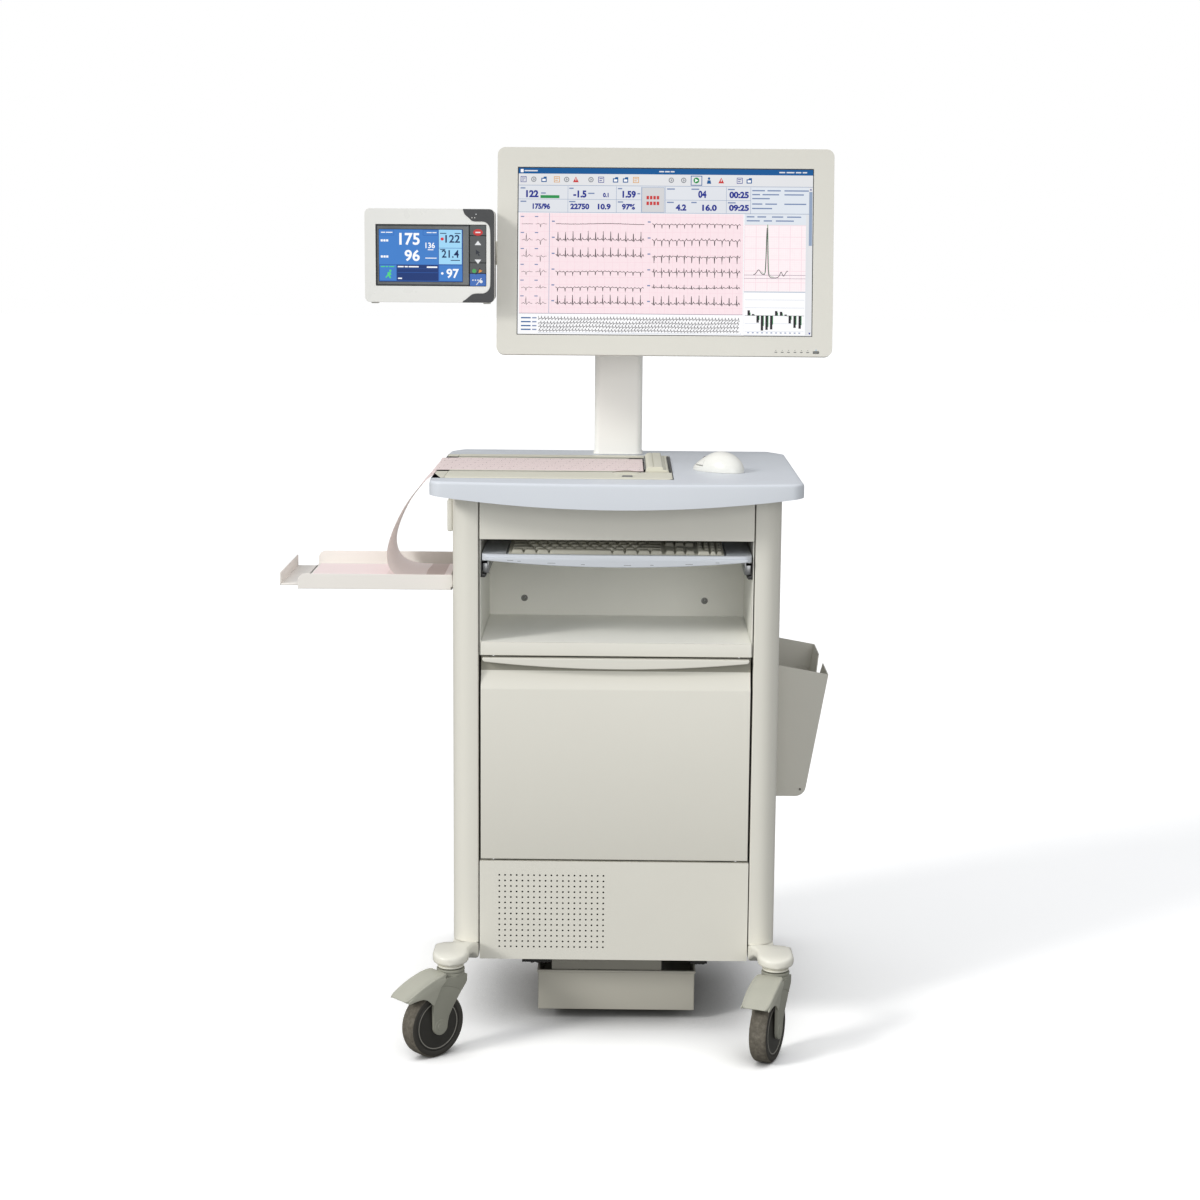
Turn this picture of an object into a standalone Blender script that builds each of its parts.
"""Stress ECG trolley: a wheeled cabinet with a strip-chart printer let into its worktop, a sliding
keyboard tray, a drop-front computer compartment, a paper tray, a storage bin, an underslung isolation
transformer and a rear column that carries the main display and a blood-pressure (BP) display.

Metres, +Z up, +Y towards the rear, -X is left. Lengths are given from the cabinet: x = 0 at its centre
plane, y = 0 at its front face, z = 0 on the floor. At the end everything is moved by ORIGIN, the
bottom centre of the whole machine."""

import math

import bmesh
import bpy
from mathutils import Matrix, Vector

for leftover in list(bpy.data.objects):
    bpy.data.objects.remove(leftover, do_unlink=True)

# ---------------------------------------------------------------- shared dimensions
ORIGIN = Vector((-0.1071, 0.1920, 0.0))
GAP = 0.0004  # between neighbouring pieces
SHEET = 0.0020  # folded sheet steel
SIDES = (("left", -1), ("right", 1))  # name, sign of x

CABINET_HALF = 0.287  # outer half width of the cabinet
SEAM_HALF = 0.2405  # half width between the two side shells
PANEL_HALF = 0.2385  # sheet panels between the shells
DOOR_HALF = 0.2365  # front door and the shelf above it
CABINET_DEPTH = 0.4700
CABINET_TOP = 0.9745
RAIL_Z = (0.1370, 0.1660)
SHELF_Z = (0.6875, 0.7115)
BAY_BACK_Y = 0.2860

SWIVEL_X, FRONT_SWIVEL_Y, REAR_SWIVEL_Y = 0.2835, -0.0925, 0.5625

TOP_X = (-0.3215, 0.3190)  # worktop
TOP_Y = (-0.0640, 0.4980)
TOP_Z = 1.0000
TOP_UNDER = 0.9755

PRINTER_X, PRINTER_Y = (-0.2990, 0.0960), (-0.0100, 0.3860)

COLUMN_TOP = 1.3500
MONITOR_AXIS = Vector((0.0820, 0.3220, 1.3820))
BP_AXIS = Vector((-0.3350, 0.3120, 1.3760))
BP_SHIFT = Vector((-0.0045, 0.0, 0.0))  # moves the whole BP display, its pin and its arm

# ---------------------------------------------------------------- finishes (rgb as displayed)
DISPLAY_GAMMA = 2.2
PAINT = dict(rgb=(0.87, 0.86, 0.82), roughness=0.45)
TOP_FINISH = dict(rgb=(0.80, 0.82, 0.86), roughness=0.40)
CREAM = dict(rgb=(0.84, 0.83, 0.76), roughness=0.50)
GREY = dict(rgb=(0.66, 0.66, 0.60), roughness=0.55)
DARK = dict(rgb=(0.22, 0.22, 0.21), roughness=0.60)
BLACK = dict(rgb=(0.07, 0.07, 0.07), roughness=0.50)
STEEL = dict(rgb=(0.62, 0.62, 0.62), roughness=0.35, metallic=1.0)
PAPER = dict(rgb=(0.92, 0.84, 0.83), roughness=0.80)
TYRE = dict(rgb=(0.36, 0.34, 0.31), roughness=0.75)
KEYBOARD = dict(rgb=(0.74, 0.74, 0.69), roughness=0.6)
MOUSE = dict(rgb=(0.90, 0.90, 0.87), roughness=0.3)
MONITOR_SCREEN = dict(rgb=(0.90, 0.85, 0.88), roughness=0.25)
BP_BEZEL = dict(rgb=(0.90, 0.90, 0.89), roughness=0.35)
BP_SHELL = dict(rgb=(0.30, 0.31, 0.33), roughness=0.45)
BP_SCREEN = dict(rgb=(0.20, 0.40, 0.70), roughness=0.15)
BP_KEY = dict(rgb=(0.35, 0.37, 0.42), roughness=0.4)


def material(name, rgb, roughness, metallic=0.0):
    made = bpy.data.materials.new(name)
    made.use_nodes = True
    linear = (*[channel**DISPLAY_GAMMA for channel in rgb], 1.0)
    shader = made.node_tree.nodes["Principled BSDF"]
    shader.inputs["Base Color"].default_value = linear
    shader.inputs["Roughness"].default_value = roughness
    shader.inputs["Metallic"].default_value = metallic
    made.diffuse_color = linear
    return made


def colour(made, finish, smooth=False):
    """Gives a piece its own material and, if asked, smooth shading with sharp creases."""
    made.data.materials.append(material(made.name + "_finish", **finish))
    if smooth:
        made.data.shade_smooth()
        if made.data.polygons:
            made.data.set_sharp_from_angle(angle=math.radians(35))


# ---------------------------------------------------------------- modelling helpers
parts = bpy.data.collections.new("ecg_machine")
cutters = bpy.data.collections.new("cutters")
bpy.context.scene.collection.children.link(parts)
bpy.context.scene.collection.children.link(cutters)


def make_helper(made):
    cutters.objects.link(made)
    made.hide_render = True
    made.display_type = "WIRE"


def place(mesh, name, cutter=False):
    made = bpy.data.objects.new(name, mesh)
    if cutter:
        make_helper(made)
    else:
        parts.objects.link(made)
    return made


def from_bmesh(bm, name, cutter=False, closed=True):
    if closed:
        bmesh.ops.recalc_face_normals(bm, faces=bm.faces)
        if bm.calc_volume(signed=True) < 0:
            bmesh.ops.reverse_faces(bm, faces=bm.faces)
    mesh = bpy.data.meshes.new(name)
    bm.to_mesh(mesh)
    bm.free()
    return place(mesh, name, cutter)


def both(half):
    """The range from -half to half."""
    return (-half, half)


def inset(span, margin):
    """A range drawn in by margin at both ends, or widened if margin is negative."""
    return (span[0] + margin, span[1] - margin)


def stations(start, end, count):
    """Evenly spaced values from start to end, in count steps."""
    return [start + (end - start) * k / count for k in range(count + 1)]


def box(name, x, y, z, cutter=False):
    bm = bmesh.new()
    centre = Vector(((x[0] + x[1]) / 2, (y[0] + y[1]) / 2, (z[0] + z[1]) / 2))
    size = Matrix.Diagonal((abs(x[1] - x[0]), abs(y[1] - y[0]), abs(z[1] - z[0]), 1.0))
    bmesh.ops.create_cube(bm, size=1.0, matrix=Matrix.Translation(centre) @ size)
    return from_bmesh(bm, name, cutter)


ROD_TURN = {
    "Z": Matrix.Identity(4),
    "Y": Matrix.Rotation(math.radians(-90), 4, "X"),
    "X": Matrix.Rotation(math.radians(90), 4, "Y"),
}


def rod(name, radius, along, span, at, segments=16, cutter=False):
    """A cylinder over span of one axis, through the other two coordinates in at."""
    bm = bmesh.new()
    middle = (span[0] + span[1]) / 2
    where = {"X": (middle, *at), "Y": (at[0], middle, at[1]), "Z": (*at, middle)}[along]
    bmesh.ops.create_cone(
        bm,
        cap_ends=True,
        segments=segments,
        radius1=radius,
        radius2=radius,
        depth=abs(span[1] - span[0]),
        matrix=Matrix.Translation(where) @ ROD_TURN[along],
    )
    return from_bmesh(bm, name, cutter)


EXTRUDE_TURN = {  # by extrusion axis; outlines are (x, y) for Z, (x, z) for Y and (y, z) for X
    "Z": Matrix.Identity(4),
    "Y": Matrix(((1, 0, 0, 0), (0, 0, -1, 0), (0, 1, 0, 0), (0, 0, 0, 1))),
    "X": Matrix(((0, 0, 1, 0), (1, 0, 0, 0), (0, 1, 0, 0), (0, 0, 0, 1))),
}
AXIS = {"X": Vector((1, 0, 0)), "Y": Vector((0, 1, 0)), "Z": Vector((0, 0, 1))}


def extrude(name, loop, along, span, holes=(), cutter=False):
    """A flat outline with optional holes, extruded over span: a filled 2D curve made a mesh."""
    start, end = span
    curve = bpy.data.curves.new(name + "_outline", "CURVE")
    curve.dimensions = "2D"
    curve.fill_mode = "BOTH"
    curve.extrude = (end - start) / 2
    for points in (loop, *holes):
        spline = curve.splines.new("POLY")
        spline.points.add(len(points) - 1)
        for point, (a, b) in zip(spline.points, points):
            point.co = (a, b, 0.0, 1.0)
        spline.use_cyclic_u = True
    guide = bpy.data.objects.new(name + "_outline", curve)
    parts.objects.link(guide)
    middle = AXIS[along] * (start + end) / 2
    guide.matrix_world = Matrix.Translation(middle) @ EXTRUDE_TURN[along]
    bpy.context.view_layer.update()
    graph = bpy.context.evaluated_depsgraph_get()
    mesh = bpy.data.meshes.new_from_object(guide.evaluated_get(graph))
    where = guide.matrix_world.copy()
    bpy.data.objects.remove(guide, do_unlink=True)
    bm = bmesh.new()
    bm.from_mesh(mesh)
    bpy.data.meshes.remove(mesh)
    bmesh.ops.remove_doubles(bm, verts=bm.verts, dist=1e-6)
    # Merges the triangles of the fill into whole faces.
    bmesh.ops.dissolve_limit(
        bm, angle_limit=0.001, verts=bm.verts, edges=bm.edges, delimit=set()
    )
    bm.transform(where)
    return from_bmesh(bm, name, cutter)


def filleted(corners, steps):
    """Points round a polygon whose corners are (a, b, radius)."""
    found = []
    for i, (a, b, radius) in enumerate(corners):
        here = Vector((a, b))
        if radius <= 0:
            found.append((a, b))
            continue
        before = (Vector(corners[i - 1][:2]) - here).normalized()
        after = (Vector(corners[(i + 1) % len(corners)][:2]) - here).normalized()
        half = before.angle(after) / 2
        reach = radius / math.tan(half)
        centre = here + (before + after).normalized() * (radius / math.sin(half))
        first_arm = here + before * reach - centre
        turn = first_arm.angle_signed(here + after * reach - centre)
        for k in range(steps + 1):
            arm = first_arm.copy()
            arm.rotate(Matrix.Rotation(-turn * k / steps, 2))
            found.append(tuple(centre + arm))
    return found


def rectangle(a, b, radius=0.0, steps=3):
    return filleted(
        [(a[0], b[0], radius), (a[1], b[0], radius), (a[1], b[1], radius), (a[0], b[1], radius)],
        steps,
    )


def turned(name, profile, steps=24):
    """A closed profile (radius, height) turned round Z with a Screw: down outside, up inside."""
    bm = bmesh.new()
    ring = [bm.verts.new((radius, 0.0, height)) for radius, height in profile]
    for i in range(len(ring)):
        bm.edges.new((ring[i - 1], ring[i]))
    made = from_bmesh(bm, name, closed=False)
    screw = made.modifiers.new("turn", "SCREW")
    screw.angle = math.radians(360)
    screw.steps = screw.render_steps = steps
    screw.use_merge_vertices = True
    screw.merge_threshold = 0.00005
    return made


def ribbon(name, first_edge, second_edge, thickness, offset):
    """An open sheet between two rows of points, given thickness by Solidify."""
    bm = bmesh.new()
    first = [bm.verts.new(point) for point in first_edge]
    second = [bm.verts.new(point) for point in second_edge]
    for i in range(len(first) - 1):
        bm.faces.new((first[i], first[i + 1], second[i + 1], second[i]))
    made = from_bmesh(bm, name, closed=False)
    solid = made.modifiers.new("thickness", "SOLIDIFY")
    solid.thickness = thickness
    solid.offset = offset
    solid.use_even_offset = True
    return made


def boolean(made, other, operation):
    """Combines made with other, which becomes a hidden helper."""
    if other.name in parts.objects:
        parts.objects.unlink(other)
        make_helper(other)
    step = made.modifiers.new(other.name, "BOOLEAN")
    step.operation = operation
    step.solver = "EXACT"
    step.object = other


def join(made, *others):
    for other in others:
        boolean(made, other, "UNION")


def cut(made, *others):
    for other in others:
        boolean(made, other, "DIFFERENCE")


def soften(made, width, segments=1):
    step = made.modifiers.new("soften", "BEVEL")
    step.width = width
    step.segments = segments
    step.limit_method = "ANGLE"
    step.angle_limit = math.radians(40)
    step.use_clamp_overlap = True


def origin_at(made, point):
    """Puts the object's origin on a point, its joint's axis, leaving the shape where it is."""
    point = Vector(point)
    made.data.transform(Matrix.Translation(-point))
    made.location = made.location + point


def empty(name, location, rotation=(0, 0, 0)):
    made = bpy.data.objects.new(name, None)
    made.empty_display_size = 0.02
    made.location = location
    made.rotation_euler = rotation
    parts.objects.link(made)
    return made


def hang(holder, *children):
    for child in children:
        child.parent = holder


# ---------------------------------------------------------------- base
FOOT_RADIUS = 0.0310
FOOT_UNDER = 0.1520
BASE_ENDS = (  # name, y of the swivel, y of the cabinet face, sign of y into the cabinet
    ("front", FRONT_SWIVEL_Y, 0.0, 1),
    ("rear", REAR_SWIVEL_Y, CABINET_DEPTH, -1),
)


def foot(name, sign, swivel_y, face_y, inward):
    """A caster foot: a round-nosed plan intersected with a stepped side view."""
    nose = [
        (
            sign * SWIVEL_X + sign * FOOT_RADIUS * math.cos(math.radians(angle)),
            swivel_y - inward * FOOT_RADIUS * math.sin(math.radians(angle)),
        )
        for angle in range(0, 181, 20)
    ]
    plan = [
        (sign * CABINET_HALF, face_y + inward * 0.010),
        (sign * 0.302, face_y - inward * 0.030),
        *nose,
        (sign * SEAM_HALF, face_y - inward * 0.025),
        (sign * SEAM_HALF, face_y + inward * 0.010),
    ]
    made = extrude(name, plan, "Z", (0.125, 0.195))
    side_view = [  # y, z
        (face_y + inward * 0.030, RAIL_Z[0] + 0.001),
        (face_y - inward * 0.004, RAIL_Z[0] + 0.001),
        (swivel_y + inward * 0.0320, FOOT_UNDER),
        (swivel_y - inward * 0.050, FOOT_UNDER),
        (swivel_y - inward * 0.050, 0.1690),
        (swivel_y - inward * 0.024, 0.1770),
        (swivel_y + inward * 0.015, 0.1790),
        (face_y - inward * 0.020, 0.1730),
        (face_y - inward * 0.001, RAIL_Z[1] - 0.0005),
        (face_y + inward * 0.030, RAIL_Z[1] - 0.0005),
    ]
    width = (sign * 0.27 - 0.06, sign * 0.27 + 0.06)
    boolean(made, extrude(name + "_profile", side_view, "X", width), "INTERSECT")
    return made


def base_rail(side, sign):
    x = (sign * SEAM_HALF, sign * CABINET_HALF)
    rail = box(f"{side}_base_rail", x, (0.0, CABINET_DEPTH), RAIL_Z)
    for end, swivel_y, face_y, inward in BASE_ENDS:
        name = f"{side}_{end}"
        join(rail, foot(name + "_foot", sign, swivel_y, face_y, inward))
        at = (sign * SWIVEL_X, swivel_y)
        cut(rail, rod(name + "_stem_hole", 0.0066, "Z", (0.140, 0.1665), at, 12, cutter=True))
    colour(rail, PAINT)


def base_pan():
    """A thin floor pan, open above and at the front."""
    half, back_y, bottom, wall = 0.2350, CABINET_DEPTH - 0.0055, 0.1395, 0.0015
    pan = box("base_pan", both(half), (0.0040, back_y), (bottom, 0.1650))
    hollow_y = (0.0000, CABINET_DEPTH - 0.0075)
    cut(
        pan,
        box("base_pan_hollow", both(half - wall), hollow_y, (bottom + wall, 0.1700), True),
        box("base_pan_cable_slot", both(0.060), (0.395, 0.415), (0.130, 0.150), True),
    )
    colour(pan, STEEL)


for side, sign in SIDES:
    base_rail(side, sign)
base_pan()

# ---------------------------------------------------------------- side shells and panels
SHELL_BOTTOM = 0.1665
SHELL_RADIUS = 0.034  # big rounded front corner


def side_shell(side, sign):
    """Sheet wrapped round the front corner, the side and the rear of the cabinet."""
    arc = [
        (
            sign * (CABINET_HALF - SHELL_RADIUS + SHELL_RADIUS * math.sin(math.radians(angle))),
            SHELL_RADIUS - SHELL_RADIUS * math.cos(math.radians(angle)),
        )
        for angle in range(0, 91, 15)
    ]
    path = [
        (sign * SEAM_HALF, 0.0300), (sign * SEAM_HALF, 0.0020), (sign * (SEAM_HALF + 0.0020), 0.0),
        *arc,
        (sign * CABINET_HALF, CABINET_DEPTH), (sign * SEAM_HALF, CABINET_DEPTH),
    ]
    shell = ribbon(
        f"{side}_side_shell",
        [(x, y, SHELL_BOTTOM) for x, y in path],
        [(x, y, CABINET_TOP) for x, y in path],
        SHEET,
        offset=-float(sign),  # thickens inwards
    )
    colour(shell, PAINT, smooth=True)


def rear_panel():
    slots = [rectangle(both(0.12), (z, z + 0.008)) for z in (0.22, 0.25, 0.28, 0.31)]
    opening = rectangle((0.15, 0.21), (0.845, 0.885), 0.01)
    panel = extrude(
        "rear_panel",
        rectangle(both(PANEL_HALF), (RAIL_Z[0], CABINET_TOP)),
        "Y",
        (CABINET_DEPTH - 0.0035, CABINET_DEPTH - 0.0015),
        holes=[*slots, opening],
    )
    colour(panel, PAINT)


def vent_panel():
    """Plain channel below the door, its flanges turned back."""
    flange_y, inner = 0.0140, PANEL_HALF - SHEET
    channel = [
        (-PANEL_HALF, 0.0), (PANEL_HALF, 0.0), (PANEL_HALF, flange_y), (inner, flange_y),
        (inner, SHEET), (-inner, SHEET), (-inner, flange_y), (-PANEL_HALF, flange_y),
    ]
    colour(extrude("vent_panel", channel, "Z", (0.1360, 0.3165)), PAINT)


def middle_shelf():
    bottom, top = SHELF_Z
    back_y = BAY_BACK_Y - 0.0005
    side_view = [
        (0.0, bottom), (SHEET, bottom), (SHEET, top - SHEET), (back_y, top - SHEET),
        (back_y, top), (0.0020, top), (0.0, top - 0.0020),
    ]
    colour(extrude("middle_shelf", side_view, "X", both(DOOR_HALF)), PAINT)


def bay_liner():
    """Two sides and the back of the bay above the shelf."""
    outer, inner, front_y = PANEL_HALF, PANEL_HALF - 0.0015, 0.0040
    back_y = BAY_BACK_Y + 0.0020
    plan = [
        (-outer, front_y), (-outer, back_y), (outer, back_y), (outer, front_y),
        (inner, front_y), (inner, BAY_BACK_Y), (-inner, BAY_BACK_Y), (-inner, front_y),
    ]
    colour(extrude("bay_liner", plan, "Z", (SHELF_Z[0], 0.8910)), PAINT)


def upper_apron():
    """Folded strip across the front, under the worktop."""
    bottom, wall = 0.8920, 0.0015
    side_view = [
        (0.0020, bottom), (0.0200, bottom), (0.0200, bottom + wall), (0.0040, bottom + wall),
        (0.0040, CABINET_TOP - wall), (0.0280, CABINET_TOP - wall), (0.0280, CABINET_TOP),
        (0.0020, CABINET_TOP),
    ]
    colour(extrude("upper_apron", side_view, "X", both(PANEL_HALF)), PAINT)


def front_door():
    """Drop-front pan, hollow behind, with a finger recess under a bowed pull lip at its top."""
    bottom, top = 0.3200, 0.6842
    side_view = [
        (0.0020, bottom), (0.0, bottom + 0.0020), (0.0, 0.6280), (0.0125, 0.6550),
        (0.0130, 0.6580), (0.0130, 0.6810), (0.0020, 0.6810), (0.0020, top),
        (0.0180, top), (0.0180, bottom),
    ]
    door = extrude("front_door", side_view, "X", both(DOOR_HALF))

    lip_half, lip_top = 0.2335, top - 0.0004
    lip_under = [(x, 0.6651 + 0.0120 * (x / lip_half) ** 2) for x in stations(-0.2295, 0.2295, 12)]
    lip_upper = [
        (lip_half, 0.6800), (lip_half, lip_top), (-lip_half, lip_top), (-lip_half, 0.6800),
    ]
    join(door, extrude("front_door_lip", lip_under + lip_upper, "Y", (-0.0055, 0.0135)))

    hollow = [
        (0.0020, bottom + 0.0020), (0.0020, 0.6285), (0.0150, 0.6570),
        (0.0150, top - 0.0020), (0.0200, top - 0.0020), (0.0200, bottom + 0.0020),
    ]
    cut(door, extrude("front_door_hollow", hollow, "X", both(DOOR_HALF - 0.0020)))
    origin_at(door, (0.0, 0.0020, 0.3185))
    colour(door, PAINT)


def computer_unit():
    """Hollow case, open at the rear, on four small feet."""
    computer = box("computer_unit", both(0.1050), (0.0500, 0.4200), (0.1440, 0.5100))
    soften(computer, 0.0012)
    corners = [(x, y) for y in (0.07, 0.38) for x in (-0.095, 0.075)]
    for i, (x, y) in enumerate(corners):
        join(computer, box(f"computer_foot_{i}", (x, x + 0.02), (y, y + 0.02), (0.1414, 0.1460)))
    cut(computer, box("computer_inside", both(0.1036), (0.0514, 0.4300), (0.1462, 0.5086), True))
    colour(computer, DARK)


def patient_lead_port():
    """Block on the left side of the cabinet."""
    x = (-0.2975, -CABINET_HALF - GAP)
    port = box("patient_lead_port", x, (0.0400, 0.0780), (0.9000, 0.9560))
    soften(port, 0.003, segments=2)
    colour(port, CREAM)


for side, sign in SIDES:
    side_shell(side, sign)
rear_panel()
vent_panel()
middle_shelf()
bay_liner()
upper_apron()
front_door()
computer_unit()
patient_lead_port()

# ---------------------------------------------------------------- casters
# Each is modelled round its swivel: x runs from the stem towards the trailing wheel.
WHEEL_RADIUS, WHEEL_WIDTH, TRAIL = 0.0580, 0.0320, 0.0400
CORE_RADIUS, AXLE_RADIUS, BORE_RADIUS = 0.0455, 0.0040, 0.0046
ARM_Y = (0.0182, 0.0235)  # side plates of the fork and skirts of the pedal
PEDAL_PIVOT = (0.0240, 0.1455)  # x, z
CASTERS = {  # name: (x, y, heading of the trailing wheel in degrees, has a brake pedal)
    "front_left": (-SWIVEL_X, FRONT_SWIVEL_Y, 222.5, True),
    "front_right": (SWIVEL_X, FRONT_SWIVEL_Y, 248.3, True),
    "rear_left": (-SWIVEL_X, REAR_SWIVEL_Y, 277.0, False),
    "rear_right": (SWIVEL_X, REAR_SWIVEL_Y, 264.0, False),
}


def side_plates(name, loop):
    """The same outline on both sides of the wheel."""
    near, far = ARM_Y
    return [
        extrude(name + "_a", loop, "Y", (near, far)),
        extrude(name + "_b", loop, "Y", (-far, -near)),
    ]


def fork_outline(braked):
    """Side view (x, z) of a fork arm, with a round end below."""
    if braked:
        top = [(-0.0190, 0.1410), (0.0250, 0.1410), (0.0440, 0.1370), (0.0560, 0.1330)]
        outer = [(0.0560, 0.1000)]
    else:
        top = [
            (-0.0190, 0.1430), (0.0250, 0.1450), (0.0480, 0.1400), (0.0680, 0.1300),
            (0.0760, 0.1200),
        ]
        outer = [(0.0660, 0.1150), (0.0570, 0.1000)]
    round_end = [
        (
            0.0405 + 0.0150 * math.cos(math.radians(angle)),
            0.0575 + 0.0150 * math.sin(math.radians(angle)),
        )
        for angle in range(0, -181, -30)
    ]
    return top + outer + round_end + [(0.0210, 0.0745), (0.0015, 0.1040), (-0.0160, 0.1250)]


def caster_fork(name, seat, braked):
    fork = rod(name + "_caster_fork", 0.0245, "Z", (0.1395, 0.1512), (0, 0), 20)
    inner_y = both(0.0190)
    helpers = [
        rod(name + "_stem", 0.0055, "Z", (0.1500, 0.1640), (0, 0), 12),
        *side_plates(name + "_arm", fork_outline(braked)),
        box(name + "_bridge", (-0.0180, 0.0545), inner_y, (0.1215, 0.1330)),
        box(name + "_crown", (-0.0180, 0.0200), inner_y, (0.1290, 0.1405)),
        rod(name + "_axle", AXLE_RADIUS, "Y", inner_y, (TRAIL, WHEEL_RADIUS), 12),
    ]
    join(fork, *helpers)
    colour(fork, GREY, smooth=True)
    hang(seat, fork, *helpers)


def caster_wheel(name, seat):
    half, tyre_bore = WHEEL_WIDTH / 2, CORE_RADIUS + GAP
    tyre_profile = [  # radius, height
        (WHEEL_RADIUS, 0.0100), (WHEEL_RADIUS, -0.0100), (0.0540, -half),
        (tyre_bore, -half), (tyre_bore, half), (0.0540, half),
    ]
    core_profile = [
        (CORE_RADIUS, 0.0150), (CORE_RADIUS, -0.0150), (0.0400, -0.0135), (0.0150, -0.0165),
        (BORE_RADIUS, -0.0165), (BORE_RADIUS, 0.0165), (0.0150, 0.0165), (0.0400, 0.0135),
    ]
    for part, profile, finish in (("tyre", tyre_profile, TYRE), ("core", core_profile, DARK)):
        wheel = turned(f"{name}_caster_{part}", profile)
        wheel.location = (TRAIL, 0.0, WHEEL_RADIUS)
        wheel.rotation_euler = (math.radians(90), 0, 0)
        colour(wheel, finish, smooth=True)
        hang(seat, wheel)


def brake_pedal(name, seat):
    """Curved cover over the fork, pivoting near the stem; its skirts hang beside the wheel."""
    side_view = [
        (0.0250, 0.1495), (0.0450, 0.1470), (0.0700, 0.1395), (0.0950, 0.1285),
        (0.1130, 0.1195), (0.1150, 0.1165), (0.1130, 0.1110), (0.0950, 0.1200),
        (0.0700, 0.1325), (0.0450, 0.1410), (0.0250, 0.1440),
    ]
    pedal = extrude(name + "_brake_pedal", side_view, "Y", both(0.0260))
    skirt = [
        (0.0600, 0.1380), (0.0650, 0.1110), (0.0840, 0.1155), (0.0990, 0.1145), (0.0990, 0.1220),
    ]
    helpers = [
        *side_plates(name + "_skirt", skirt),
        box(name + "_brake_shoe", (0.0640, 0.0780), both(0.0100), (0.1165, 0.1340)),
    ]
    join(pedal, *helpers)
    origin_at(pedal, (PEDAL_PIVOT[0], 0.0, PEDAL_PIVOT[1]))
    colour(pedal, GREY)
    hang(seat, pedal, *helpers)


for name, (x, y, heading, braked) in CASTERS.items():
    seat = empty(name + "_swivel", (x, y, 0.0), (0, 0, math.radians(heading)))
    caster_fork(name, seat, braked)
    caster_wheel(name, seat)
    if braked:
        brake_pedal(name, seat)

# ---------------------------------------------------------------- worktop
TOP_BOW = 0.0270  # how far the front edge bows forward at its centre
TOP_APRON = 0.9560  # lowest point of the curved front apron
TOP_CORNER = 0.026  # front corner radius
TOP_REAR_CORNER = 0.010
OVERSHOOT = 0.02  # of the cutters past the ends of the worktop


def across(x):
    """Place across the worktop, -1 at its left end to 1 at its right."""
    return (x - (TOP_X[0] + TOP_X[1]) / 2) / ((TOP_X[1] - TOP_X[0]) / 2)


def front_edge(x):
    """y of the front edge, bowed forward between its ends."""
    return TOP_Y[0] - TOP_BOW * (1 - across(x) ** 2)


def apron_edge(x):
    """z of the lower edge of the front apron, deepest at its centre."""
    return TOP_APRON + (TOP_UNDER - TOP_APRON) * across(x) ** 2


def corner(points, steps):
    """Fillets between two guide points, which are left out."""
    return filleted(points, steps)[1:-1]


def worktop():
    left, right = TOP_X
    back = TOP_Y[1]
    front = [(x, front_edge(x)) for x in stations(*inset(TOP_X, 0.034), 10)][1:-1]
    notch_x = PRINTER_X[1] + 0.0008
    notch_front, notch_back = inset(PRINTER_Y, -0.0008)
    plan = (
        corner([(left, 0.02, 0), (left, front_edge(left), TOP_CORNER), (*front[0], 0)], 4)
        + front
        + corner([(*front[-1], 0), (right, front_edge(right), TOP_CORNER), (right, 0.02, 0)], 4)
        + corner(
            [
                (right, back - 0.12, 0), (right, back - 0.05, TOP_REAR_CORNER),
                (0.290, back, TOP_REAR_CORNER), (0.2, back, 0),
            ],
            2,
        )
        + corner(
            [
                (-0.2, back, 0), (-0.300, back, TOP_REAR_CORNER),
                (left, back - 0.04, TOP_REAR_CORNER), (left, back - 0.08, 0),
            ],
            2,
        )
        + [(left, notch_back), (notch_x, notch_back), (notch_x, notch_front), (left, notch_front)]
    )
    made = extrude("worktop", plan, "Z", (0.9400, TOP_Z))

    # Hollows the underside behind the front apron.
    low_x, high_x = inset(TOP_X, -OVERSHOOT)
    apron_back = [(x, y + 0.016) for x, y in front]
    under = [
        (low_x, apron_back[0][1] + 0.002),
        *apron_back,
        (high_x, apron_back[-1][1] + 0.002),
        (high_x, 0.52), (low_x, 0.52),
    ]
    behind = extrude("worktop_underside", under, "Z", (0.930, TOP_UNDER), cutter=True)

    # Trims the apron to its curved lower edge.
    curve = [(x, min(apron_edge(x), 0.9765)) for x in stations(low_x, high_x, 12)]
    curve += [(high_x, 0.92), (low_x, 0.92)]
    cut(made, behind, extrude("worktop_apron_curve", curve, "Y", (-0.16, 0.60), cutter=True))
    colour(made, TOP_FINISH)


worktop()

# ---------------------------------------------------------------- keyboard tray on slides
TRAY_FRONT_Y = -0.0060
KEYBOARD_X, KEYBOARD_Y = (-0.1890, 0.1870), (0.0060, 0.1500)


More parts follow.
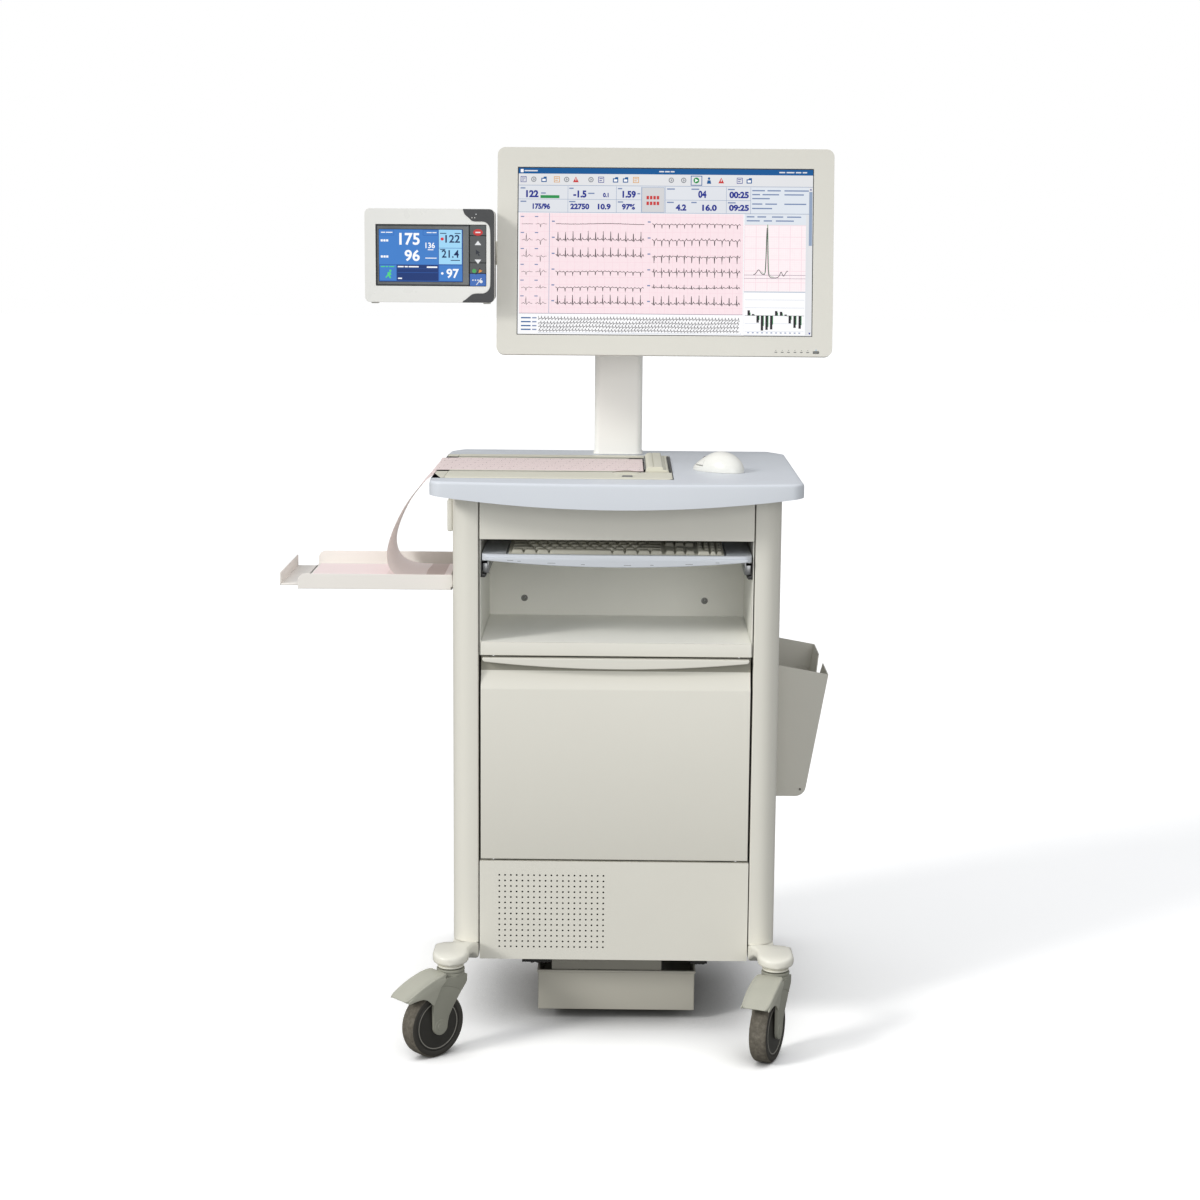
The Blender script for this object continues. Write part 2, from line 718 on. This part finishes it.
def keyboard_tray():
    half, back_y = 0.2345, 0.2600
    plan = filleted(
        [
            (-half, back_y, 0), (-half, TRAY_FRONT_Y, 0.012), (0.0, TRAY_FRONT_Y - 0.006, 0),
            (half, TRAY_FRONT_Y, 0.012), (half, back_y, 0),
        ],
        3,
    )
    tray = extrude("keyboard_tray", plan, "Z", (0.8560, 0.8670))
    lip_half = 0.226
    lip = [
        (x, 0.8460 + 0.0105 * (x / lip_half) ** 2) for x in stations(-lip_half, lip_half, 10)
    ]
    lip += [(lip_half, 0.860), (-lip_half, 0.860)]
    lip_y = (TRAY_FRONT_Y - 0.0040, TRAY_FRONT_Y + 0.0020)
    join(tray, extrude("keyboard_tray_lip", lip, "Y", lip_y))
    runner_y = (0.010, 0.255)
    for side, sign in SIDES:
        runner_x, web_x = (sign * 0.2335, sign * 0.2250), (sign * 0.2255, sign * 0.2225)
        join(
            tray,
            box(f"runner_{side}", runner_x, runner_y, (0.8320, 0.8490)),
            box(f"runner_web_{side}", web_x, runner_y, (0.8320, 0.8570)),
        )
    recess_x = inset(KEYBOARD_X, -0.004)
    cut(tray, box("keyboard_recess", recess_x, (0.002, 0.160), (0.8645, 0.88), True))
    colour(tray, TOP_FINISH)


def keyboard():
    front, back = KEYBOARD_Y
    side_view = [
        (front, 0.8650), (back, 0.8650), (back, 0.8840), (back - 0.018, 0.8860),
        (front + 0.003, 0.8740), (front, 0.8720),
    ]
    colour(extrude("keyboard", side_view, "X", KEYBOARD_X), KEYBOARD)


def outer_slide(side, sign):
    """C-shaped channel, open towards the centre of the cabinet."""
    back, web, lip = sign * 0.2366, sign * 0.2351, sign * 0.2275
    section = [
        (back, 0.8260), (lip, 0.8260), (lip, 0.8275), (web, 0.8275),
        (web, 0.8535), (lip, 0.8535), (lip, 0.8550), (back, 0.8550),
    ]
    colour(extrude(f"slide_outer_{side}", section, "Y", (0.006, 0.270)), STEEL)


keyboard_tray()
keyboard()
for side, sign in SIDES:
    outer_slide(side, sign)

# ---------------------------------------------------------------- strip-chart printer
PRINTER_TOP = 1.0016
ROLLER_X, ROLLER_Z = 0.0380, 0.9895
OPEN_TOP = 1.1  # height the printer's cutters reach


def printer_chassis():
    chassis = box("printer_chassis", PRINTER_X, PRINTER_Y, (0.9760, PRINTER_TOP))
    lower_z = (0.9050, 0.9770)
    join(chassis, box("printer_lower_case", (-0.2300, 0.0880), (0.0350, 0.3500), lower_z))
    for name, x, y, bottom in (
        ("paper_well", (-0.2100, 0.0490), (0.1080, 0.3320), 0.9150),
        ("door_channel", (-0.3100, 0.0490), (0.0900, 0.3500), 0.9880),
        ("release_pocket", (0.0072, 0.0268), (0.0132, 0.0248), 0.9920),
    ):
        cut(chassis, box(name, x, y, (bottom, OPEN_TOP), True))
    colour(chassis, CREAM)


def printer_door():
    """Lid over the paper well, hollow underneath."""
    lid = box("printer_door", (-0.2988, 0.0250), (0.0906, 0.3494), (0.9886, 1.0000))
    hollow = ((-0.1900, 0.0180), (0.1120, 0.3280), (0.980, 0.9960))
    cut(lid, box("printer_door_hollow", *hollow, True))
    colour(lid, CREAM)


def platen_roller():
    roller = rod("platen_roller", 0.0085, "Y", (0.1120, 0.3280), (ROLLER_X, ROLLER_Z), 20)
    origin_at(roller, (ROLLER_X, 0.2200, ROLLER_Z))
    colour(roller, BLACK, smooth=True)


def print_head_bridge():
    bottom = PRINTER_TOP + GAP
    section = [
        (0.0500, bottom), (0.0900, bottom), (0.0900, 1.0080), (0.0860, 1.0110),
        (0.0560, 1.0110), (0.0500, 1.0060),
    ]
    colour(extrude("print_head_bridge", section, "Y", (0.0950, 0.3450)), CREAM)


def door_release_button():
    button = box("door_release_button", (0.0080, 0.0260), (0.0140, 0.0240), (0.9960, 1.0036))
    soften(button, 0.0012)
    colour(button, DARK)


def chart_paper():
    """Strip that leaves the printer leftwards and falls into the paper tray."""
    fall = [  # x, z
        (0.0460, 1.0006), (-0.2998, 1.0006), (-0.3130, 0.9978), (-0.3325, 0.9872),
        (-0.3550, 0.9650), (-0.3790, 0.9330), (-0.3990, 0.8960), (-0.4110, 0.8600),
        (-0.4110, 0.8330), (-0.4000, 0.8130), (-0.3780, 0.8030), (-0.3500, 0.8005),
        (-0.3020, 0.8005),
    ]
    edges = [[(x, y, z) for x, z in fall] for y in (0.1150, 0.3250)]
    colour(ribbon("chart_paper", *edges, thickness=0.0005, offset=0.0), PAPER)


printer_chassis()
printer_door()
platen_roller()
print_head_bridge()
door_release_button()
chart_paper()

# ---------------------------------------------------------------- paper tray, bin, transformer


def paper_tray():
    """Folding tray on the left side, with a raised plate at its outer end."""
    outer_x, hinge_x = -0.5635, -0.2905
    front, back = 0.0600, 0.3500
    bottom, floor, rim = 0.7930, 0.7960, 0.8200
    wall = 0.0025
    section = [
        (front, bottom), (back, bottom), (back, rim), (back - wall, rim),
        (back - wall, floor), (front + wall, floor), (front + wall, rim), (front, rim),
    ]
    tray = extrude("paper_tray", section, "X", (outer_x, hinge_x))
    plate_x = (-0.6010, -0.5983)
    end_section = [
        (plate_x[0], bottom), (outer_x + 0.0030, bottom), (outer_x + 0.0030, floor),
        (plate_x[1], floor), (plate_x[1], 0.8160), (plate_x[0], 0.8160),
    ]
    join(
        tray,
        extrude("paper_tray_end", end_section, "Y", (0.0980, 0.3200)),
        box("paper_tray_root", (hinge_x - 0.003, hinge_x), (front, back), (bottom, bottom + 0.006)),
    )
    origin_at(tray, (-0.2885, (front + back) / 2, 0.7915))
    colour(tray, PAINT)


def storage_bin():
    """Open-topped bin on the right side, with a finger scoop in its outer wall."""
    inner_x, wall = CABINET_HALF + 0.0008, 0.002
    bin_y = (0.1600, 0.4650)
    outside = [  # x, z, radius
        (inner_x, 0.3995, 0.003), (0.3472, 0.3995, 0.020),
        (0.3869, 0.6275, 0.0006), (inner_x, 0.6453, 0.0006),
    ]
    inside = [
        (inner_x + wall, 0.4015, 0.002), (0.3456, 0.4015, 0.018), (0.3850, 0.6275, 0),
        (0.3980, 0.7000, 0), (inner_x + wall, 0.7000, 0),
    ]
    scoop_start, scoop_end, scoop_low = 0.2686, 0.3610, 0.5800
    scoop = [  # y, z
        (scoop_start, 0.6300), (scoop_start + 0.0350, scoop_low),
        (scoop_end - 0.0310, scoop_low), (scoop_end, 0.6300),
        (scoop_end, 0.6700), (scoop_start, 0.6700),
    ]
    made = extrude("storage_bin", filleted(outside, 4), "Y", bin_y)
    hollow_y = inset(bin_y, wall)
    cut(
        made,
        extrude("storage_bin_hollow", filleted(inside, 4), "Y", hollow_y, cutter=True),
        extrude("storage_bin_scoop", scoop, "X", (0.3600, 0.4100), cutter=True),
    )
    colour(made, PAINT)


def transformer_box():
    x, y, bottom, wall = (-0.1360, 0.1480), (0.0650, 0.3650), 0.0200, 0.0015
    tub = box("transformer_box", x, y, (bottom, 0.0950))
    hollow_z = (bottom + wall, 0.2)
    cut(tub, box("transformer_box_hollow", inset(x, wall), inset(y, wall), hollow_z, True))
    colour(tub, PAINT)


def isolation_transformer():
    """Block hung from a flange with a hollow hanger at each end."""
    core = box("isolation_transformer", (-0.0650, 0.0770), (0.1300, 0.2900), (0.0220, 0.1110))
    y = (0.0850, 0.3450)
    join(core, box("transformer_flange", (-0.1660, 0.1780), y, (0.1100, 0.1130)))
    for i, x in enumerate((-0.166, 0.152)):
        join(core, box(f"transformer_hanger_{i}", (x, x + 0.026), y, (0.1120, 0.1390)))
    for i, x in enumerate((-0.163, 0.145)):
        name = f"transformer_hanger_hollow_{i}"
        cut(core, box(name, (x, x + 0.030), (0.0880, 0.3420), (0.1130, 0.1360), True))
    colour(core, BLACK)


paper_tray()
storage_bin()
transformer_box()
isolation_transformer()

# ---------------------------------------------------------------- mouse
# Modelled with its nose along +X and its left side along +Y, then turned by its heading.
MOUSE_AT, MOUSE_HEADING = (0.1800, 0.1380), 136.0
MOUSE_HALF = (0.0545, 0.0315, 0.0360)  # half length, half width, height
WHEEL_SLOT = ((0.0210, 0.0390), (-0.0036, 0.0036))  # x, y
KEY_BACK_X, KEY_UNDER = 0.0120, 0.0110


def dome(name):
    """The upper half of an ellipsoid, lowered towards the nose."""
    bm = bmesh.new()
    size = Matrix.Diagonal((*MOUSE_HALF, 1.0))
    bmesh.ops.create_uvsphere(bm, u_segments=16, v_segments=10, radius=1.0, matrix=size)
    bmesh.ops.bisect_plane(
        bm,
        geom=bm.verts[:] + bm.edges[:] + bm.faces[:],
        plane_co=(0, 0, 0.00001),
        plane_no=(0, 0, -1),
        clear_outer=True,
    )
    bmesh.ops.contextual_create(bm, geom=[edge for edge in bm.edges if edge.is_boundary])
    for vert in bm.verts:
        t = min(1.0, max(0.0, (vert.co.x / MOUSE_HALF[0] + 0.15) / 1.15))
        vert.co.z *= 1.0 - 0.42 * t * t * (3.0 - 2.0 * t)
    return from_bmesh(bm, name)


def mouse_shell(holder):
    body = dome("mouse_shell")
    pocket = box("mouse_button_pocket", (0.0114, 0.0700), both(0.05), (0.0094, 0.06), True)
    well = box("mouse_wheel_well", *WHEEL_SLOT, (0.0070, 0.06), True)
    cut(body, pocket, well)
    colour(body, MOUSE, smooth=True)
    hang(holder, body, pocket, well)


def mouse_button(holder, side, y_sign):
    name = f"mouse_button_{side}"
    key = dome(name)
    space_y = (y_sign * 0.0004, y_sign * 0.05)
    space = box(name + "_space", (KEY_BACK_X, 0.0700), space_y, (KEY_UNDER, 0.06))
    boolean(key, space, "INTERSECT")
    slot = box(name + "_slot", *WHEEL_SLOT, (0.0050, 0.06), True)
    cut(key, slot)
    origin_at(key, (KEY_BACK_X, 0.0, KEY_UNDER))
    colour(key, MOUSE, smooth=True)
    hang(holder, key, space, slot)


def mouse_wheel(holder):
    x, z = 0.0300, 0.0160
    wheel = rod("mouse_wheel", 0.0080, "Y", both(0.0028), (x, z))
    origin_at(wheel, (x, 0.0, z))
    colour(wheel, DARK, smooth=True)
    hang(holder, wheel)


mouse = empty("mouse_place", (*MOUSE_AT, TOP_Z + GAP), (0, 0, math.radians(MOUSE_HEADING)))
mouse_shell(mouse)
mouse_button(mouse, "left", 1)
mouse_button(mouse, "right", -1)
mouse_wheel(mouse)

# ---------------------------------------------------------------- column and display arm


def column():
    half, y, wall = 0.0450, (0.4150, 0.4850), 0.003
    made = extrude(
        "column",
        rectangle(both(half), y, 0.012, 4),
        "Z",
        (1.0004, COLUMN_TOP),
        holes=[rectangle(both(half - wall), inset(y, wall), 0.009, 3)[::-1]],
    )
    colour(made, PAINT, smooth=True)


def mount_crossbar():
    """Hollow bar that swivels on the column, with an arm and knuckle for the BP display."""
    bar_y, bar_z, wall = (0.3720, 0.3970), (1.3560, 1.4000), 0.0025
    arm_centre = BP_AXIS.x + BP_SHIFT.x
    arm_x = (arm_centre - 0.016, arm_centre + 0.016)
    pin_at = (BP_AXIS.y, BP_AXIS.z)
    hub = rectangle(both(0.048), (0.3960, 0.4880), 0.012, 3)
    bar = box("mount_crossbar", (-0.3700, 0.1500), bar_y, bar_z)
    join(
        bar,
        extrude("swivel_hub", hub, "Z", (COLUMN_TOP + GAP, 1.3760)),
        box("bp_arm", arm_x, (0.3160, 0.3730), (1.3680, 1.3840)),
        rod("bp_knuckle", 0.0100, "X", arm_x, pin_at),
    )
    hole_x = (arm_centre - 0.02, arm_centre + 0.02)
    cut(
        bar,
        box("crossbar_inside", (-0.45, 0.25), inset(bar_y, wall), inset(bar_z, wall), True),
        rod("bp_pin_hole", 0.0046, "X", hole_x, pin_at, 12, cutter=True),
    )
    origin_at(bar, (0.0, 0.4500, bar_z[0]))
    colour(bar, PAINT)


def tilt_bracket():
    """Plate on the crossbar with two ears and the pin the main display tilts on."""
    left, right, ear = 0.0420, 0.1220, 0.0060
    ear_y, ear_z = (0.3120, 0.3665), (1.3700, 1.3940)
    bracket = box("tilt_bracket", (left, right), (0.3655, 0.3716), (1.3420, 1.4220))
    pin_at = (MONITOR_AXIS.y, MONITOR_AXIS.z)
    join(
        bracket,
        box("tilt_ear_left", (left, left + ear), ear_y, ear_z),
        box("tilt_ear_right", (right - ear, right), ear_y, ear_z),
        rod("tilt_pin", 0.0050, "X", (0.0440, 0.1200), pin_at, 12),
    )
    colour(bracket, DARK)


column()
mount_crossbar()
tilt_bracket()

# ---------------------------------------------------------------- main display
# Modelled upright round its tilt axis and leaned back by its seat.
MONITOR_LEAN = 8.0  # degrees
MONITOR_FRONT = -0.0730
MONITOR_CENTRE_Z = -0.0080
MONITOR_X = both(0.6070 / 2)
MONITOR_Z = (MONITOR_CENTRE_Z - 0.3730 / 2, MONITOR_CENTRE_Z + 0.3730 / 2)
SCREEN_X = both(0.5310 / 2)
SCREEN_Z = (MONITOR_CENTRE_Z - 0.2990 / 2, MONITOR_CENTRE_Z + 0.2990 / 2)
POWER_X, POWER_Z = 0.2740, MONITOR_Z[0] + 0.0075


def monitor_y(start, end):
    """A depth range measured from the front of the display."""
    return (MONITOR_FRONT + start, MONITOR_FRONT + end)


def power_box(name, half_x, half_z, y, cutter=False):
    """A box centred on the power button."""
    x = (POWER_X - half_x, POWER_X + half_x)
    return box(name, x, y, (POWER_Z - half_z, POWER_Z + half_z), cutter)


def monitor_bezel(seat):
    frame = extrude(
        "monitor_bezel",
        rectangle(MONITOR_X, MONITOR_Z, 0.014, 4),
        "Y",
        monitor_y(0, 0.0180),
        holes=[rectangle(inset(SCREEN_X, -0.0015), inset(SCREEN_Z, -0.0015))[::-1]],
    )
    hole = power_box("power_button_hole", 0.0055, 0.0022, monitor_y(-0.01, 0.03), True)
    cut(frame, hole)
    colour(frame, PAINT)
    hang(seat, frame, hole)


def monitor_panel(seat):
    x, z = inset(SCREEN_X, -0.0010), inset(SCREEN_Z, -0.0010)
    panel = box("monitor_panel", x, monitor_y(0.0018, 0.0120), z)
    colour(panel, MONITOR_SCREEN)
    hang(seat, panel)


def monitor_back(seat):
    """Hollow back with a shallow bulge and the lug that turns on the tilt pin."""
    plan = rectangle(inset(MONITOR_X, 0.002), inset(MONITOR_Z, 0.002), 0.013, 3)
    back = extrude("monitor_back", plan, "Y", monitor_y(0.0184, 0.0400))
    bulge_x, bulge_z = both(0.2200), (-0.1300, 0.1250)
    lug_y = (MONITOR_FRONT + 0.0550, 0.0100)
    added = [
        box("monitor_bulge", bulge_x, monitor_y(0.0380, 0.0560), bulge_z),
        box("monitor_lug", both(0.0330), lug_y, both(0.0110)),
    ]
    inside_x, inside_z = inset(MONITOR_X, 0.005), inset(MONITOR_Z, 0.005)
    bulge_inside = (inset(bulge_x, 0.003), monitor_y(0.0170, 0.0530), inset(bulge_z, 0.003))
    removed = [
        rod("monitor_lug_bore", 0.0056, "X", both(0.05), (0.0, 0.0), 12, cutter=True),
        box("monitor_back_inside", inside_x, monitor_y(0.0170, 0.0370), inside_z, True),
        box("monitor_bulge_inside", *bulge_inside, True),
    ]
    join(back, *added)
    cut(back, *removed)
    colour(back, PAINT)
    hang(seat, back, *added, *removed)


def monitor_power_button(seat):
    power = power_box("monitor_power_button", 0.0050, 0.0017, monitor_y(-0.0010, 0.0160))
    colour(power, GREY)
    hang(seat, power)


monitor_seat = empty("monitor_tilt", MONITOR_AXIS, (math.radians(-MONITOR_LEAN), 0, 0))
monitor_bezel(monitor_seat)
monitor_panel(monitor_seat)
monitor_back(monitor_seat)
monitor_power_button(monitor_seat)

# ---------------------------------------------------------------- blood-pressure display
# Given in cabinet coordinates, then moved onto its seat at the tilt axis.
BP_X, BP_Y, BP_Z = (-0.4510, -0.2190), (0.2000, 0.3000), (1.2920, 1.4580)
WINDOW_X, WINDOW_Z = (-0.4313, -0.2335), (1.3210, 1.4300)
BP_KEYS = {  # name: z range
    "stop": (1.4112, 1.4292),
    "nav": (1.3632, 1.4104),
    "run": (1.3442, 1.3624),
    "start": (1.3218, 1.3434),
}


def seat_bp(seat, *pieces):
    for piece in pieces:
        piece.data.transform(Matrix.Translation(-BP_AXIS))
    hang(seat, *pieces)


def bp_front_bezel(seat):
    bezel = extrude(
        "bp_front_bezel",
        rectangle(BP_X, BP_Z, 0.010, 3),
        "Y",
        (BP_Y[0], BP_Y[0] + 0.0120),
        holes=[rectangle(WINDOW_X, WINDOW_Z, 0.0010, 2)[::-1]],
    )
    colour(bezel, BP_BEZEL)
    seat_bp(seat, bezel)


def bp_back_shell(seat):
    """Hollow back with two ears, the tilt pin and two feet."""
    plan = rectangle(inset(BP_X, 0.0005), inset(BP_Z, 0.0005), 0.010, 3)
    shell = extrude("bp_back_shell", plan, "Y", (BP_Y[0] + 0.0124, BP_Y[1]))
    axis_x, axis_y, axis_z = BP_AXIS
    ear_y, ear_z = (0.2980, 0.3220), (1.3660, 1.3860)
    foot_y, foot_z = (0.2200, 0.2300), (1.2895, 1.2940)
    pin_x = (axis_x - 0.0200, axis_x + 0.0200)
    added = [
        box("bp_ear_left", (axis_x - 0.0240, axis_x - 0.0175), ear_y, ear_z),
        box("bp_ear_right", (axis_x + 0.0175, axis_x + 0.0240), ear_y, ear_z),
        rod("bp_pin", 0.0040, "X", pin_x, (axis_y, axis_z), 12),
        box("bp_foot_left", (-0.4300, -0.4100), foot_y, foot_z),
        box("bp_foot_right", (-0.2600, -0.2400), foot_y, foot_z),
    ]
    hollow_y = (BP_Y[0] + 0.0100, BP_Y[1] - 0.0030)
    hollow = box("bp_shell_inside", inset(BP_X, 0.0035), hollow_y, inset(BP_Z, 0.0035), True)
    join(shell, *added)
    cut(shell, hollow)
    colour(shell, BP_SHELL)
    seat_bp(seat, shell, hollow, *added)


def bp_screen(seat):
    y = (BP_Y[0] + 0.0010, BP_Y[0] + 0.0100)
    glass = box("bp_screen", (WINDOW_X[0] + 0.0006, -0.2640), y, inset(WINDOW_Z, 0.0006))
    colour(glass, BP_SCREEN)
    seat_bp(seat, glass)


def bp_keys(seat):
    """Column of keys to the right of the screen."""
    y = (BP_Y[0] + 0.0006, BP_Y[0] + 0.0100)
    for name, z in BP_KEYS.items():
        key = box(f"bp_key_{name}", (-0.2630, -0.2343), y, z)
        colour(key, BP_KEY)
        seat_bp(seat, key)


bp_seat = empty("bp_tilt", BP_AXIS + BP_SHIFT)
bp_front_bezel(bp_seat)
bp_back_shell(bp_seat)
bp_screen(bp_seat)
bp_keys(bp_seat)

# ---------------------------------------------------------------- onto the machine's own origin
for piece in bpy.data.objects:
    if piece.parent is None:
        piece.location = piece.location - ORIGIN
